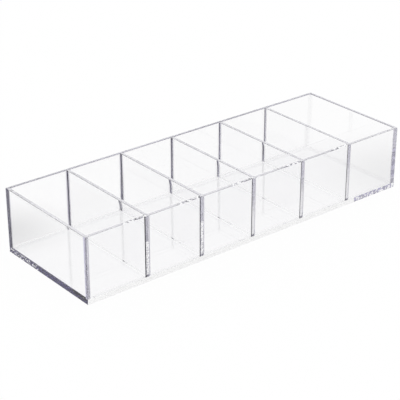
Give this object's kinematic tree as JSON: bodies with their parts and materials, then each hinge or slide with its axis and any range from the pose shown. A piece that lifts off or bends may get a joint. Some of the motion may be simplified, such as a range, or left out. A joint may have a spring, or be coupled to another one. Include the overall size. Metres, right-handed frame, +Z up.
{
  "type": "vanity organizer",
  "caption": "Long open tray of clear acrylic sheet with a row of six compartments for cosmetics and toiletries.",
  "frame": {"origin": "middle of the underside of the base", "axes": "+X along the length, +Y across the width from the front long wall to the back one, +Z up"},
  "size_m": [0.36, 0.12, 0.062],
  "materials": {
    "clear_acrylic": "clear cast acrylic sheet with polished edges"
  },
  "bodies": {
    "root": {"base_panel": "clear_acrylic", "front_wall": "clear_acrylic", "back_wall": "clear_acrylic", "left_end_wall": "clear_acrylic", "right_end_wall": "clear_acrylic", "divider_1": "clear_acrylic", "divider_2": "clear_acrylic", "divider_3": "clear_acrylic", "divider_4": "clear_acrylic", "divider_5": "clear_acrylic"}
  },
  "joints": []
}
